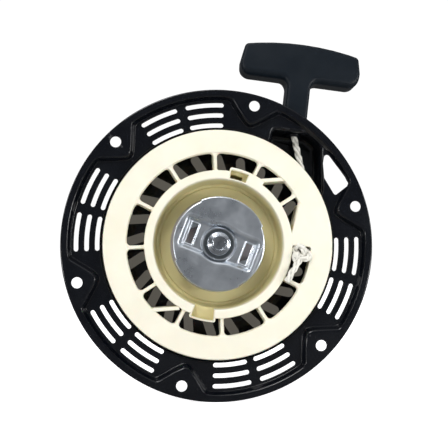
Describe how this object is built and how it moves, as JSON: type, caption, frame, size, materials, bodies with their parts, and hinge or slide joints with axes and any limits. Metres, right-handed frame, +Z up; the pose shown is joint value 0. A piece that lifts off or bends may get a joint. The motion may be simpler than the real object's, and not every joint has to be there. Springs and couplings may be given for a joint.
{
  "type": "recoil starter",
  "caption": "Pull-rope recoil starter for a small petrol engine: stamped round housing, cream rope reel, zinc clutch guide plate and black T-grip, engine side at -Y.",
  "frame": {"origin": "centre of the housing's flat outer face, on the reel's axis", "axes": "+Y out of the closed outer face along the reel's axis, away from the engine; +X right as seen from the engine side; +Z up towards the grip"},
  "size_m": [0.1976, 0.0485, 0.2308],
  "materials": {
    "black_paint": "gloss black paint on stamped steel",
    "cream_nylon": "satin moulded nylon",
    "zinc_steel": "dull zinc plate",
    "bright_zinc": "bright zinc plate",
    "spring_steel": "oiled spring steel",
    "white_rope": "braided nylon cord",
    "grip_plastic": "satin moulded grip"
  },
  "bodies": {
    "housing": {"starter_housing": "black_paint", "centre_post": "zinc_steel", "centre_screw": "bright_zinc", "thrust_washer": "zinc_steel", "rope_lead": "white_rope", "main_spring": "spring_steel", "rope_eyelet": "black_paint"},
    "reel": {"rope_reel": "cream_nylon", "rope_winding": "white_rope", "reel_knot": "white_rope", "pawl_a_return_spring": "spring_steel", "pawl_b_return_spring": "spring_steel"},
    "guide": {"ratchet_guide": "zinc_steel", "friction_spring": "spring_steel"},
    "pawl_a": {"pawl_a": "zinc_steel"},
    "pawl_b": {"pawl_b": "zinc_steel"},
    "grip": {"pull_grip": "grip_plastic", "knot_washer": "zinc_steel", "grip_knot": "white_rope", "rope_pull_end": "white_rope"}
  },
  "joints": [
    {"name": "reel_spin", "type": "hinge", "parent": "housing", "child": "reel", "pos_m": [0, -0.03, 0], "axis": [0, -1, 0], "range_deg": [0, 1050], "deforming": ["main_spring"]},
    {"name": "grip_pull", "type": "slide", "parent": "housing", "child": "grip", "axis": [0.1219, 0, 0.9925], "range_m": [0, 1.185], "deforming": ["rope_pull_end"]},
    {"name": "guide_turn", "type": "hinge", "parent": "reel", "child": "guide", "pos_m": [0, -0.045, 0], "axis": [0, 1, 0], "range_deg": [0, 28]},
    {"name": "pawl_a_swing", "type": "hinge", "parent": "reel", "child": "pawl_a", "pos_m": [-0.00667, -0.0375, 0.01938], "axis": [0, 1, 0], "range_deg": [0, 32.2]},
    {"name": "pawl_b_swing", "type": "hinge", "parent": "reel", "child": "pawl_b", "pos_m": [0.00667, -0.0375, -0.01938], "axis": [0, 1, 0], "range_deg": [0, 32.2]}
  ],
  "couplings": [
    {"joint": "grip_pull", "follows": "reel_spin", "m_per_rad": 0.06465},
    {"joint": "pawl_a_swing", "follows": "guide_turn", "ratio": 1.15},
    {"joint": "pawl_b_swing", "follows": "guide_turn", "ratio": 1.15}
  ]
}
